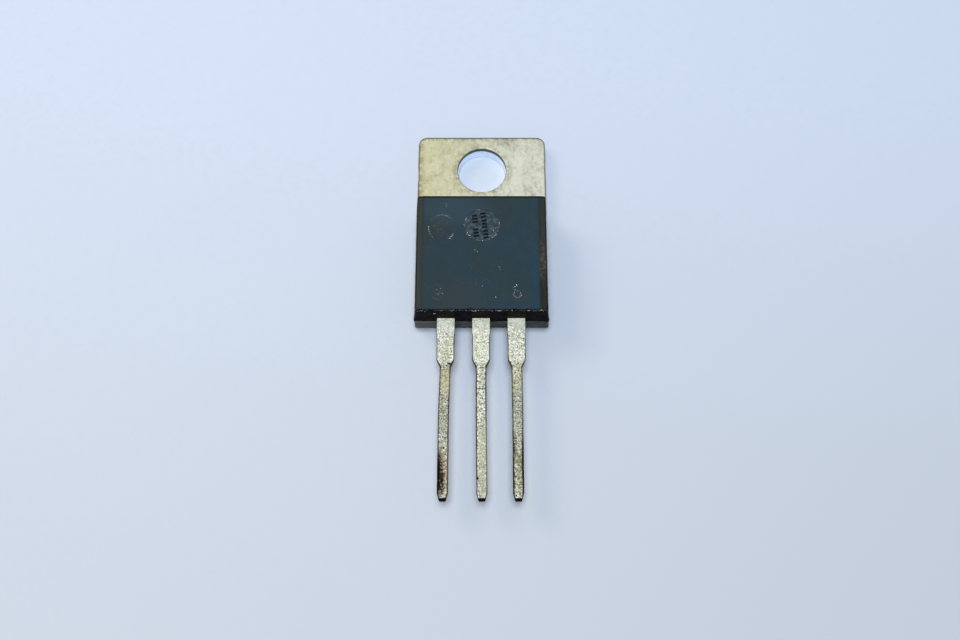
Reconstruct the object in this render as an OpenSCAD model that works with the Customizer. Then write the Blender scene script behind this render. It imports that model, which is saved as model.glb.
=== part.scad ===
// Three-lead power transistor in a through-hole package with a metal mounting tab.
// Origin: centre of the tab's hole, on the metal seating plane. +Y runs up the tab,
// the leads run out along -Y, and +Z points out of the front face. Millimetres.
// The tab and the middle lead are one piece of copper; the outer leads are separate.

/* [Moulded body] */
// Width of the body at its parting line
body_w = 9.85; // [8.2:0.05:12]
// Length of the body at its parting line, tab end to lead end
body_l = 9.1; // [7.5:0.1:11.5]
// Thickness over all, seating plane to front face
body_t = 4.5; // [4.0:0.1:5.4]
// Draft of the front half, in degrees
front_draft = 5; // [2:0.5:7]
// Draft of the back half, in degrees
back_draft = 7; // [2:0.5:8]
// Radius of the upright corners where it is least, at the end of the longer slope
corner_r = 0.1; // [0.05:0.01:0.3]
// How far the moulded back lies behind the metal seating plane
back_recess = 0.03; // [0.01:0.01:0.06]
// Diameter of the ejector pin mark in the front face
pin_mark_d = 2.5; // [1.5:0.1:3]
// Depth of the ejector pin mark
pin_mark_depth = 0.08; // [0.04:0.01:0.15]
// Ejector pin mark's centre, from the tab end of the body
pin_mark_y = 2.5; // [2:0.1:4]

/* [Tab] */
// Width of the tab
tab_w = 9.9; // [8.2:0.05:12]
// Length of tab that stands out of the body
tab_l = 6.5; // [5.4:0.1:8]
// Thickness of the tab
tab_t = 1.3; // [1.0:0.05:1.6]
// Radius of the tab's two outer corners
tab_corner_r = 0.55; // [0.2:0.05:1]
// Diameter of the mounting hole
hole_d = 3.75; // [3.1:0.05:4.2]
// Hole's centre, from the end of the tab
hole_to_end = 2.8; // [2.5:0.05:3.2]
// Gap between the tab's shoulders and the body's sloping end
shoulder_gap = 0.03; // [0.01:0.01:0.1]

/* [Seating pad inside the body] */
// Moulded wall left on each side of the bare pad
pad_side_wall = 0.95; // [0.8:0.05:1.4]
// Moulded wall left between the bare pad and the lead end
pad_end_wall = 2.9; // [2.7:0.1:3.6]
// Overhang of the coined ledge that the moulding grips
ledge_w = 0.3; // [0.15:0.05:0.4]
// Thickness of that ledge
ledge_t = 0.5; // [0.3:0.05:0.7]
// Depth of the two moisture grooves across the pad
groove_depth = 0.15; // [0.08:0.01:0.2]
// First groove's distance from the tab end of the body
groove_from_end = 0.6; // [0.4:0.05:0.8]
// Distance between the two moisture grooves
groove_pitch = 0.5; // [0.4:0.05:0.7]

/* [Leads] */
// Spacing between lead centres
pitch = 2.54; // [2.3:0.01:3.1]
// Leads' sideways offset from the tab's centre line
lead_offset = -0.07; // [-0.1:0.01:0.1]
// Thickness of the leads
lead_t = 0.5; // [0.4:0.02:0.6]
// Height of the leads' underside, which is also the parting plane
lead_z = 2.4; // [2.2:0.05:2.9]
// Length of the leads outside the body
lead_l = 13.0; // [8:0.1:16]
// Width of the broad part next to the body
broad_w = 1.26; // [1.1:0.02:1.5]
// Remains of the sheared-off dam bar on each side of the broad part
stub_w = 0.03; // [0.01:0.01:0.06]
// How far those remains reach from the body
stub_l = 1.15; // [0.8:0.05:1.5]
// Length of the broad part
broad_l = 3.05; // [1:0.05:4]
// Length of the taper from the broad part to the slim part
taper_l = 0.52; // [0.2:0.02:1]
// Width of the slim part
slim_w = 0.76; // [0.6:0.02:0.92]
// Length of the pointed tip
tip_l = 0.55; // [0.3:0.05:1]
// Width of the tip's end
tip_w = 0.46; // [0.3:0.02:0.56]
// Thickness of the tip's end
tip_t = 0.42; // [0.3:0.02:0.48]
// Sideways set of the gate, drain and source leads part of the way down, from handling
mid_set = [-0.09, 0, 0.02]; // [-0.3:0.01:0.3]
// Distance of that set from the body
mid_l = 7; // [5:0.5:9]
// Sideways set of the gate, drain and source tips
tip_set = [-0.1, 0.05, 0.01]; // [-0.3:0.01:0.3]

/* [Drain lead's crank] */
// Angle at which the drain lead climbs out of the pad
crank_angle = 60; // [45:5:70]
// Inside radius of the crank's two bends
crank_r = 0.4; // [0.25:0.05:0.5]
// Width of the drain lead inside the body
crank_w = 1.6; // [1.3:0.05:1.9]

/* [Bond posts of the outer leads] */
// Length of the posts, along the leads
post_l = 1.7; // [1.2:0.1:2]
// Moulding between the posts and the body's sides
post_side_wall = 0.85; // [0.6:0.05:1.1]
// Gap between the posts and the drain lead
post_gap = 0.65; // [0.4:0.05:0.8]
// Moulding between the posts and the lead end of the body
post_end_wall = 0.75; // [0.7:0.05:1]
// Chamfer on the posts' corners
post_chamfer = 0.35; // [0.1:0.05:0.5]
// Radius of the notches that lock the leads in the moulding
lock_r = 0.16; // [0.1:0.01:0.2]

/* [Die] */
// Width of the silicon die
die_w = 4.4; // [3:0.1:5.4]
// Length of the silicon die
die_l = 3.4; // [2.8:0.1:4.1]
// Thickness of the silicon
die_t = 0.25; // [0.15:0.01:0.35]
// Thickness of the die's top metal
metal_t = 0.02; // [0.01:0.005:0.04]
// Side of the square gate pad
gate_pad = 0.8; // [0.6:0.05:1]
// Bare border round the die's metal, and between its two pads
metal_border = 0.15; // [0.1:0.01:0.2]
// Thickness of the solder under the die
solder_t = 0.06; // [0.03:0.01:0.1]
// How far the solder shows round the die
solder_rim = 0.15; // [0.05:0.05:0.3]

/* [Bond wires] */
// Diameter of the source wires
source_wire_d = 0.38; // [0.25:0.01:0.45]
// Spacing of the two source wires
source_wire_pitch = 1.1; // [0.9:0.05:1.3]
// Diameter of the gate wire
gate_wire_d = 0.15; // [0.1:0.01:0.2]
// Rise of the wires' loops above their bonds on the posts
loop_rise = 0.35; // [0.25:0.05:0.4]
// Angle at which the wires come down to the posts
land_angle = 25; // [20:1:35]
// Radius of the bends next to the feet, in wire diameters
heel_bend = 1.3; // [1:0.1:1.6]
// Radius of the bend at the top of the loop, in wire diameters
over_bend = 1.6; // [1.2:0.1:2]
// Diameter of a wire's straight stretches, which the bonder draws thinner, against its bends
drawn_share = 0.96; // [0.94:0.01:0.98]

/* [Hidden] */
$fn = 64;

body_top_y = hole_to_end - tab_l;              // tab end of the body, at the parting line
body_end_y = body_top_y - body_l;              // lead end of the body, at the parting line
pad_w = body_w - 2 * pad_side_wall;
pad_end_y = body_end_y + pad_end_wall;
shoulder_y = body_top_y - (lead_z - tab_t) * tan(back_draft) + shoulder_gap;
parting_r = corner_r + max((body_t - lead_z) * tan(front_draft), (lead_z - back_recess) * tan(back_draft));
groove_end_y = body_top_y - groove_from_end - groove_pitch - groove_depth;
crank_y = pad_end_y - ledge_w;                 // where the drain lead leaves the pad
die_y = (groove_end_y + pad_end_y) / 2;
die_top_z = tab_t + solder_t + die_t + metal_t;
post_top_z = lead_z + lead_t;
post_y = body_end_y + post_end_wall;
post_in_x = crank_w / 2 + post_gap;
post_out_x = body_w / 2 - post_side_wall;
post_mid_x = (post_in_x + post_out_x) / 2;
gate_pad_at = [-die_w / 2 + metal_border + gate_pad / 2, die_y - die_l / 2 + metal_border + gate_pad / 2];
eps = 0.01;                                    // overshoot of a cutter past the face it cuts
bend_steps = 8;                                // flats that make up each bend of the crank

// ---------- moulded body ----------

// Half of a moulded block: its parting face on z = 0, its four sides leaning in by the
// draft, and its upright corners cones that are tangent to the sides.
module drafted_half(h, draft) {
    lean = h * tan(draft);
    flank_l = body_l - 2 * parting_r;
    end_w = body_w - 2 * parting_r;
    translate([0, flank_l / 2, 0]) rotate([90, 0, 0])
        linear_extrude(flank_l) trapezium(body_w, lean, h);
    translate([-end_w / 2, 0, 0]) rotate([90, 0, 90])
        linear_extrude(end_w) trapezium(body_l, lean, h);
    for (x = [-1, 1], y = [-1, 1])
        translate([x * end_w / 2, y * flank_l / 2, 0])
            cylinder(h = h, r1 = parting_r, r2 = parting_r - lean);
}

module trapezium(base, lean, h) {
    polygon([[-base / 2, 0], [base / 2, 0], [base / 2 - lean, h], [-base / 2 + lean, h]]);
}

module body_blank() {
    translate([0, body_top_y - body_l / 2, lead_z]) {
        drafted_half(body_t - lead_z, front_draft);
        mirror([0, 0, 1]) drafted_half(lead_z - back_recess, back_draft);
    }
}

module pin_mark() {
    translate([0, body_top_y - pin_mark_y, body_t - pin_mark_depth])
        cylinder(d = pin_mark_d, h = pin_mark_depth + eps);
}

// The moulding flows round everything that it holds, so its cavity is those pieces themselves.
module epoxy_body() {
    color([0.17, 0.22, 0.26]) difference() {
        body_blank();
        pin_mark();
        tab_and_drain_lead();
        gate_lead();
        source_lead();
        die_solder();
        silicon_die();
        gate_wire();
        source_wire_inner();
        source_wire_outer();
    }
}

// ---------- tab, pad and drain lead: one piece of two-gauge copper ----------

module tab_outline() {
    difference() {
        union() {
            translate([-tab_w / 2, shoulder_y])
                square([tab_w, hole_to_end - tab_corner_r - shoulder_y]);
            translate([-tab_w / 2 + tab_corner_r, shoulder_y])
                square([tab_w - 2 * tab_corner_r, hole_to_end - shoulder_y]);
            for (x = [-1, 1])
                translate([x * (tab_w / 2 - tab_corner_r), hole_to_end - tab_corner_r])
                    circle(r = tab_corner_r);
        }
        circle(d = hole_d);
    }
}

// The pad that shows in the body's back, with a coined ledge round three sides of it.
module seating_pad() {
    translate([-pad_w / 2, pad_end_y, 0])
        cube([pad_w, shoulder_y - pad_end_y + eps, tab_t]);
    translate([-pad_w / 2 - ledge_w, pad_end_y - ledge_w, tab_t - ledge_t])
        cube([pad_w + 2 * ledge_w, groove_end_y - pad_end_y + ledge_w, ledge_t]);
}

module moisture_grooves() {
    reach = groove_depth + eps;
    for (i = [0, 1])
        translate([-pad_w / 2 - eps, body_top_y - groove_from_end - i * groove_pitch, tab_t])
            rotate([90, 0, 90]) linear_extrude(pad_w + 2 * eps)
                polygon([[-reach, eps], [reach, eps], [0, -groove_depth]]);
}

// The side view of the strip that climbs from the pad's top to the leads' plane: x runs
// along the lead from the pad's end, y is the height. Its two bends share one radius.
module crank_profile() {
    a = crank_angle;
    outer_r = crank_r + lead_t;
    drop = (crank_r + outer_r) * (1 - cos(a));
    climb = lead_z + lead_t - tab_t;
    run = (crank_r + outer_r) * sin(a) + (climb - drop) / tan(a);
    low_c = [0, tab_t + crank_r];
    high_c = [run, lead_z - crank_r];
    end_x = crank_y - body_end_y - lead_t / 2;
    polygon(concat(
        [[-ledge_w, tab_t], [-ledge_w, tab_t - lead_t]],
        arc(low_c, outer_r, -90, a - 90),
        arc(high_c, crank_r, a + 90, 90),
        [[end_x, lead_z], [end_x, lead_z + lead_t]],
        arc(high_c, outer_r, 90, a + 90),
        arc(low_c, crank_r, a - 90, -90)));
}

function arc(centre, r, start, end) =
    [for (i = [0 : bend_steps])
        let (angle = start + (end - start) * i / bend_steps)
        centre + r * [cos(angle), sin(angle)]];

module crank() {
    translate([lead_offset + crank_w / 2, crank_y, 0]) rotate([90, 0, -90])
        linear_extrude(crank_w) crank_profile();
}

module tab_and_drain_lead() {
    color([0.75, 0.73, 0.63]) difference() {
        union() {
            linear_extrude(tab_t) tab_outline();
            seating_pad();
            crank();
            outer_lead(0, mid_set[1], tip_set[1]);
        }
        moisture_grooves();
    }
}

// ---------- leads ----------

// The outline of one lead from inside the body to its tip. It starts centred on x = 0;
// mid and end are how far its centre line has been pushed aside on the way down.
module lead_outline(mid, end) {
    dam = broad_w / 2 + stub_w;
    slim = slim_w / 2;
    tip = tip_w / 2;
    polygon([
        [-dam, lead_t], [-dam, -stub_l], [-broad_w / 2, -stub_l],
        [-broad_w / 2, -broad_l], [-slim, -broad_l - taper_l],
        [mid - slim, -mid_l], [end - slim, tip_l - lead_l], [end - tip, -lead_l],
        [end + tip, -lead_l], [end + slim, tip_l - lead_l], [mid + slim, -mid_l],
        [slim, -broad_l - taper_l], [broad_w / 2, -broad_l],
        [broad_w / 2, -stub_l], [dam, -stub_l], [dam, lead_t]]);
}

// The stamped lead outside the body, its tip thinned from above and below.
module outer_lead(x, mid, end) {
    nip = (lead_t - tip_t) / 2;
    translate([x + lead_offset, body_end_y, lead_z]) difference() {
        linear_extrude(lead_t) lead_outline(mid, end);
        for (side = [0, 1])
            translate([-broad_w, -lead_l, side * lead_t]) mirror([0, 0, side])
                rotate([90, 0, 90]) linear_extrude(2 * broad_w)
                    polygon([[-eps, -eps], [tip_l, -eps], [tip_l, 0], [0, nip], [-eps, nip]]);
    }
}

// The flat post that carries the bonds, from its outer edge to its inner one, for a lead on +X.
module post_outline() {
    c = post_chamfer;
    top_y = post_y + post_l;
    polygon([
        [post_in_x, post_y + c], [post_in_x + c, post_y],
        [post_out_x - c, post_y], [post_out_x, post_y + c],
        [post_out_x, top_y - c], [post_out_x - c, top_y],
        [post_in_x + c, top_y], [post_in_x, top_y - c]]);
}

// side is -1 for the gate and 1 for the source.
module side_lead(side, mid, end) {
    x = side * pitch + lead_offset;
    neck_l = post_end_wall + post_chamfer;
    difference() {
        union() {
            outer_lead(side * pitch, mid, end);
            translate([0, 0, lead_z]) linear_extrude(lead_t) {
                translate([x, body_end_y + neck_l / 2])
                    square([broad_w + 2 * stub_w, neck_l], center = true);
                scale([side, 1]) post_outline();
            }
        }
        for (edge = [-1, 1])
            translate([x + edge * (broad_w / 2 + stub_w), body_end_y + post_end_wall / 2, lead_z - eps])
                cylinder(r = lock_r, h = lead_t + 2 * eps);
    }
}

module gate_lead() {
    color([0.78, 0.77, 0.68]) side_lead(-1, mid_set[0], tip_set[0]);
}

module source_lead() {
    color([0.78, 0.77, 0.68]) side_lead(1, mid_set[2], tip_set[2]);
}

// ---------- die ----------

module centred_slab(w, l, t) {
    translate([-w / 2, -l / 2, 0]) cube([w, l, t]);
}

module die_solder() {
    color([0.6, 0.6, 0.62]) translate([0, die_y, tab_t])
        centred_slab(die_w + 2 * solder_rim, die_l + 2 * solder_rim, solder_t);
}

// The silicon with its source metal and, in one corner, its gate pad.
module silicon_die() {
    keep_out = gate_pad + metal_border;
    color([0.42, 0.42, 0.5]) {
        translate([0, die_y, tab_t + solder_t]) centred_slab(die_w, die_l, die_t);
        translate([0, 0, die_top_z - metal_t]) linear_extrude(metal_t) {
            translate(gate_pad_at) square(gate_pad, center = true);
            difference() {
                translate([0, die_y])
                    square([die_w - 2 * metal_border, die_l - 2 * metal_border], center = true);
                translate([-die_w / 2, die_y - die_l / 2])
                    square(keep_out + metal_border);
            }
        }
    }
}

// ---------- bond wires ----------

// A wedge-bonded wire between the middles of its two feet, from and to, which lie on the
// metal that they are bonded to. It turns up out of the first foot, climbs, turns over on
// one arc whose top is loop_rise above the second bond, and comes down at land_angle. The
// angle that it climbs at follows from the run that is left for the climb.
module bond_wire(d, from, to) {
    axis_z = 0.6 * d;                          // the wire's centre line over its flattened foot
    reach = 1.5 * d;                           // from a foot's middle to where the wire bends
    heel_r = heel_bend * d;
    over_r = over_bend * d;
    land = land_angle;
    both_r = heel_r + over_r;
    run = norm([to.x - from.x, to.y - from.y]) - 2 * reach;
    climb = to.z - from.z + loop_rise;
    climb_run = run - loop_rise / tan(land) - both_r * tan(land / 2);
    leave = 2 * atan(climb / (climb_run + sqrt(climb_run * climb_run - climb * (2 * both_r - climb))));
    up_l = (climb - both_r * (1 - cos(leave))) / sin(leave);
    down_l = (loop_rise - both_r * (1 - cos(land))) / sin(land);
    up_at = [reach + heel_r * sin(leave), axis_z + heel_r * (1 - cos(leave))];
    over_at = up_at + up_l * [cos(leave), sin(leave)];
    over_c = over_at + over_r * [sin(leave), -cos(leave)];
    down_at = over_c + over_r * [sin(land), cos(land)];
    toe_at = down_at + down_l * [cos(land), -sin(land)];
    translate(from) rotate([0, 0, atan2(to.y - from.y, to.x - from.x)]) {
        wire_foot(d, reach, axis_z);
        wire_arc(d, [reach, axis_z + heel_r], heel_r, -90, leave);
        wire_rod(d, up_at, leave, up_l);
        wire_arc(d, over_c, over_r, 90 - land, leave + land);
        wire_rod(d, down_at, -land, down_l);
        wire_arc(d, toe_at + heel_r * [sin(land), cos(land)], heel_r, -90 - land, land);
        translate([run + 2 * reach, 0, to.z - from.z]) rotate([0, 0, 180])
            wire_foot(d, reach, axis_z);
    }
}

// A straight stretch in the plane of the loop, from a point and at an angle above the level.
// It is a little thinner than the bends, and tucks into the one at each end of it.
module wire_rod(d, at, angle, l) {
    tuck = d / 8;
    translate([at.x, 0, at.y]) rotate([0, 90 - angle, 0])
        translate([0, 0, -tuck]) cylinder(d = d * drawn_share, h = l + 2 * tuck);
}

// A curved stretch in the plane of the loop, about a centre, from one angle through another.
module wire_arc(d, centre, r, start, sweep) {
    translate([centre.x, 0, centre.y]) rotate([90, 0, 0]) rotate([0, 0, start])
        rotate_extrude(angle = sweep) translate([r, 0]) circle(d = d);
}

// The foot that the bonding wedge squashes flat, and the round wire that grows out of it.
module wire_foot(d, reach, axis_z) {
    foot_w = 1.5 * d;
    foot_l = 2 * reach - foot_w / 3;
    linear_extrude(axis_z) {
        square([foot_l - foot_w, foot_w], center = true);
        for (x = [-1, 1])
            translate([x * (foot_l - foot_w) / 2, 0]) circle(d = foot_w);
    }
    wire_rod(d, [0, axis_z], 0, reach);
}

module gate_wire() {
    color([0.86, 0.87, 0.88])
        bond_wire(gate_wire_d, [gate_pad_at.x, gate_pad_at.y, die_top_z],
                  [-post_mid_x, post_y + post_l / 2, post_top_z]);
}

// place is -1 for the inner wire and 1 for the outer one.
module source_wire(place) {
    die_x = die_w / 4;
    shift = place * source_wire_pitch / 2;
    color([0.86, 0.87, 0.88])
        bond_wire(source_wire_d, [die_x + shift, die_y, die_top_z],
                  [post_mid_x + shift, post_y + post_l / 2, post_top_z]);
}

module source_wire_inner() {
    source_wire(-1);
}

module source_wire_outer() {
    source_wire(1);
}

epoxy_body();
tab_and_drain_lead();
gate_lead();
source_lead();
silicon_die();
die_solder();
gate_wire();
source_wire_inner();
source_wire_outer();
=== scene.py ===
from math import cos, hypot, pi, radians, sin, tan

import bmesh
import bpy
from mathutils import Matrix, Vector, geometry, noise


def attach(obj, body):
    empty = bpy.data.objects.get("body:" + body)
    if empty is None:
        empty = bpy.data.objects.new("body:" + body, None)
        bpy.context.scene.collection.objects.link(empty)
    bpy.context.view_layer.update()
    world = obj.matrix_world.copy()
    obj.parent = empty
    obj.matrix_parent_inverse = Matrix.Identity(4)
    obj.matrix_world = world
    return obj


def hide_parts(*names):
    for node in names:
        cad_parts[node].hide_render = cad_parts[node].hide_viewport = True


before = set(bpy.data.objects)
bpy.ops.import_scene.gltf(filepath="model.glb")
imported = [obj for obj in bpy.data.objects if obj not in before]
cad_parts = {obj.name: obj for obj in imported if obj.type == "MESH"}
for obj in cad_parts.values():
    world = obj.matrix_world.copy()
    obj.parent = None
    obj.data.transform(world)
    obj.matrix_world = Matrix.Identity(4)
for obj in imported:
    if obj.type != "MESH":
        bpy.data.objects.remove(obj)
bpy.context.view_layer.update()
mm = 0.001
print("frame loaded:", ", ".join(sorted(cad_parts)))


# nodes as expressions

class Wire:
    # one output socket: sums and products of it lay Math nodes on its board
    def __init__(self, board, out):
        self.board, self.out = board, out

    def maths(self, operation, *values):
        return self.board.add("ShaderNodeMath", {"operation": operation}, values)

    def __add__(self, other):
        return self.maths("ADD", self, other)

    def __sub__(self, other):
        return self.maths("SUBTRACT", self, other)

    def __mul__(self, other):
        return self.maths("MULTIPLY", self, other)

    def __truediv__(self, other):
        return self.maths("DIVIDE", self, other)

    def __rsub__(self, other):
        return self.maths("SUBTRACT", other, self)

    def __rtruediv__(self, other):
        return self.maths("DIVIDE", other, self)

    def __pow__(self, other):
        return self.maths("POWER", self, other)

    __radd__ = __add__
    __rmul__ = __mul__

    def size(self):
        return self.maths("ABSOLUTE", self)

    def sine(self):
        return self.maths("SINE", self)

    def least(self, other):
        return self.maths("MINIMUM", self, other)

    def most(self, other):
        return self.maths("MAXIMUM", self, other)

    def ramp(self, low, high):
        # eases from 0 to 1 while the value goes from low to high
        return self.board.add("ShaderNodeMapRange", {"interpolation_type": "SMOOTHSTEP"},
                              {"Value": self, "From Min": low, "From Max": high})

    def part(self, name):
        return Wire(self.board, self.out.node.outputs[name])


class Board:
    # a node tree to lay nodes on
    def __init__(self, tree):
        self.tree = tree

    def add(self, kind, settings=None, values=(), output=0):
        node = self.tree.nodes.new(kind)
        for name, value in (settings or {}).items():
            setattr(node, name, value)
        pairs = values.items() if isinstance(values, dict) else enumerate(values)
        for key, value in pairs:
            self.feed(node.inputs[key], value)
        return Wire(self, node.outputs[output]) if node.outputs else None

    def feed(self, socket, value):
        if isinstance(value, Wire):
            self.tree.links.new(value.out, socket)
        elif socket.type == "RGBA" and len(value) == 3:
            socket.default_value = (*value, 1.0)
        else:
            socket.default_value = value

    def mix(self, factor, a, b):
        return self.add("ShaderNodeMix", {"data_type": "RGBA"}, {0: factor, 6: a, 7: b}, 2)

    def vector(self, operation, *values):
        return self.add("ShaderNodeVectorMath", {"operation": operation}, values)

    def scaled(self, vector, factor):
        return self.add("ShaderNodeVectorMath", {"operation": "SCALE"},
                        {0: vector, "Scale": factor})

    def cut(self, vector):
        x = self.add("ShaderNodeSeparateXYZ", None, [vector])
        return x, x.part("Y"), x.part("Z")

    def xyz(self, x, y, z):
        return self.add("ShaderNodeCombineXYZ", None, [x, y, z])


def screen(red, green, blue):
    # a colour's screen values, 0 to 255, as the linear ones that sockets take
    def line(value):
        value /= 255
        return value / 12.92 if value <= 0.04045 else ((value + 0.055) / 1.055) ** 2.4
    return line(red), line(green), line(blue)


# materials

class Finish(Board):
    # a Principled material whose patterns are laid out in millimetres
    def __init__(self, name, look=None, **values):
        self.look = look
        self.material = bpy.data.materials.new(name)
        self.material.use_nodes = True
        super().__init__(self.material.node_tree)
        self.shader = next(n for n in self.tree.nodes if n.type == "BSDF_PRINCIPLED")
        self.place = self.scaled(self.add("ShaderNodeTexCoord", None, (), "Object"), 1 / mm)
        self.x, self.y, self.z = self.cut(self.place)
        for key, value in values.items():
            self.set(key.replace("_", " "), value)

    def set(self, name, value):
        self.feed(self.shader.inputs[name], value)

    def tone(self, colour):
        # a colour is a link, its three screen values or its name in the look
        if isinstance(colour, str):
            colour = self.look[colour]
        return colour if isinstance(colour, Wire) else screen(*colour)

    def mix(self, factor, a, b):
        return super().mix(factor, self.tone(a), self.tone(b))

    def coats(self, tint, *coats):
        # lays tones over a tint in turn, each by its own mask
        for mask, tone in coats:
            tint = self.mix(mask, tint, tone)
        return tint

    def at(self, stretch, shift):
        place = self.place
        if stretch != (1, 1, 1):
            place = self.vector("MULTIPLY", place, stretch)
        if shift != (0, 0, 0):
            place = self.vector("ADD", place, shift)
        return place

    def cloud(self, scale, detail=3.0, rough=0.55, stretch=(1, 1, 1), shift=(0, 0, 0)):
        return self.add("ShaderNodeTexNoise", None,
                        {"Vector": self.at(stretch, shift), "Scale": scale, "Detail": detail,
                         "Roughness": rough})

    def broken(self, mask, scale, shift, low, high):
        # a mask with gaps where its own cloud is thin
        return mask * self.cloud(scale, 4, 0.75, shift=shift).ramp(low, high)

    def spots(self, scale, size, soft, shift=(0, 0, 0)):
        # 1 in the middle of scattered dots
        far = self.add("ShaderNodeTexVoronoi", None,
                       {"Vector": self.at((1, 1, 1), shift), "Scale": scale})
        return far.ramp(size + soft, size)

    def disc(self, x, y, radiusX, radiusY, soft):
        # 1 inside an ellipse seen along Z, easing to 0 over its soft edge
        far = (((self.x - x) / radiusX) ** 2 + ((self.y - y) / radiusY) ** 2) ** 0.5
        return far.ramp(1 + soft, 1 - soft)

    def bump(self, height, distance, strength):
        self.set("Normal", self.add("ShaderNodeBump", None, {
            "Strength": strength, "Distance": distance * mm, "Height": height}))


epoxyLook = {
    "topZ": 4.5, "left": -4.731, "right": 4.646, "top": -3.794, "end": (-12.4, -12.55),
    "pinY": -6.13, "pinR": 1.25, "pinZ": (4.2, 4.3),
    "slateLeft": (50, 65, 73), "slateRight": (42, 67, 84),
    "slateDull": (56, 69, 74), "slateGreen": (49, 64, 65),
    "margin": (62, 65, 60), "marginLow": (40, 42, 37), "rim": (20, 23, 22),
    "groove": (44, 53, 57), "sideDark": (3, 3, 3), "sideBrown": (27, 22, 17),
    "chipsAndEdgeHighlight": (118, 118, 110), "chipZ": 4.27, "ledge": (112, 112, 104),
    "ledgeZ": 2.3, "scoreZ": 1.75, "lip": (44, 41, 34), "lipPale": (100, 96, 85),
    "lipZ": (2.42, 2.38), "leadReflectionTone": (52, 25, 18), "exits": (-2.61, -0.07, 2.47),
    "exitZ": 2.9, "pinDark": (50, 65, 75), "pinPale": (100, 114, 122),
    "speck": (120, 118, 110),
    # x, y, radius x, radius y, colour, scale and shift of the cloud that breaks it up
    "streaks": [(4.36, -7.9, 0.16, 1.2, (96, 66, 52), 3.4, (1, 1, 4)),
                (4.36, -9.4, 0.2, 1.1, (104, 96, 70), 3.6, (4, 2, 4))],
    # x, y, radius, from and to in degrees, colour, strength: faint arcs rubbed into the face
    "arcs": [(-2.9, -6.35, 1.02, 40, 150, (118, 110, 102), 0.7),
             (-2.9, -6.35, 1.0, 165, 235, (110, 96, 84), 0.6),
             (-2.9, -6.35, 0.95, -70, -10, (122, 112, 100), 0.7),
             (2.5, -11.5, 0.26, -200, 20, (118, 112, 108), 0.7),
             (0.25, -10.6, 0.24, -20, 200, (72, 82, 80), 0.6),
             (-0.75, -9.3, 0.12, 0, 360, (66, 76, 74), 0.6),
             (2.1, -9.1, 0.67, 168, 195, (104, 112, 112), 0.9),
             (-3.2, -11.1, 0.34, 20, 160, (92, 84, 80), 0.7),
             (-3.2, -11.6, 0.3, 190, 350, (96, 82, 74), 0.7)],
    # x, y, radius x, radius y, colour, strength: painted sheen, wide soft lighter patches on the
    # face
    "paintedSheens": [(-2.2, -4.9, 2.4, 1.1, (58, 77, 87), 0.7),
               (-1.3, -11.7, 1.9, 1.3, (56, 66, 68), 0.7)],
    # x, y, radius, colour, strength: rubbed patches
    "scuffs": [(-2.9, -6.35, 0.85, (92, 84, 76), 0.75),
               (-3.15, -11.3, 0.5, (98, 76, 66), 0.8),
               (-3.3, -11.2, 0.42, (78, 74, 74), 0.8),
               (0.9, -9.3, 0.5, (66, 76, 74), 0.6),
               (-0.35, -9.5, 0.35, (70, 76, 74), 0.5)],
    "specular": 0.01, "sideRough": 0.2, "faceRough": 0.5, "grainDepth": 0.012,
}


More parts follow.
